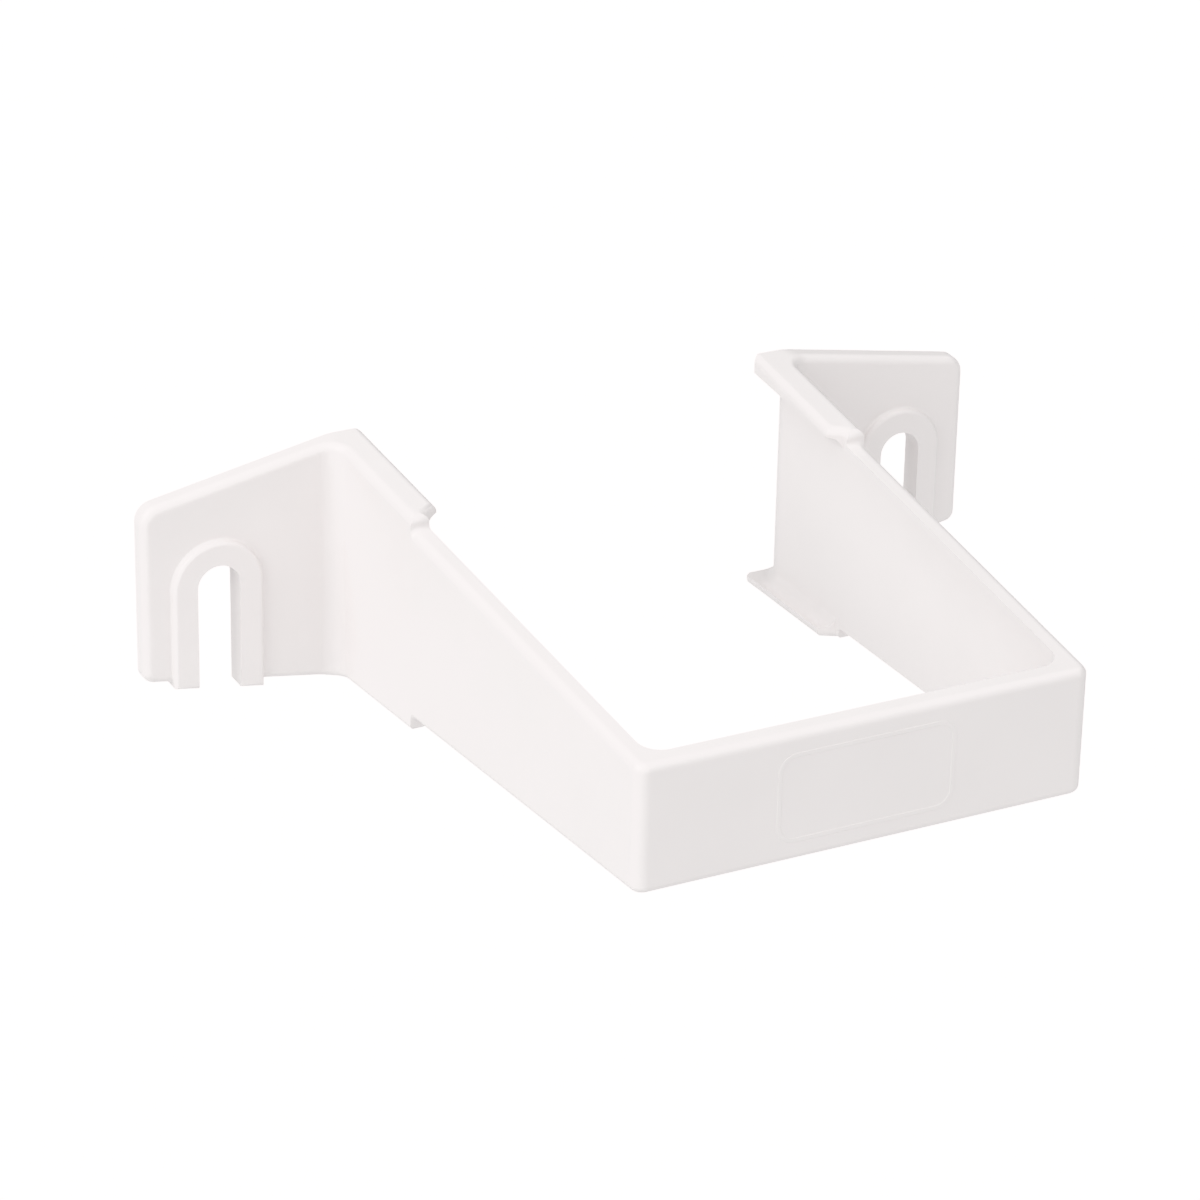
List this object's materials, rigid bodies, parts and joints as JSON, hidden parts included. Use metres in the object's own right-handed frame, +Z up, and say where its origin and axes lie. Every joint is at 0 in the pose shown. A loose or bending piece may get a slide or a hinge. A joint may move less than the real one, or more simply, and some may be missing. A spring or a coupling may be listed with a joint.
{
  "type": "downpipe bracket",
  "caption": "White moulded saddle bracket: a tapered strap goes round a square rainwater pipe, and slotted ears at its rear screw flat to a wall.",
  "frame": {"origin": "on the wall plane, midway between the two screw slots and level with their round ends", "axes": "+X across the wall, +Y into the wall, +Z up along the pipe; the strap reaches towards -Y"},
  "size_m": [0.14, 0.0976, 0.0396],
  "materials": {
    "moulding": "white rigid PVC with a satin surface"
  },
  "bodies": {
    "root": {"downpipe_bracket": "moulding"}
  },
  "joints": []
}
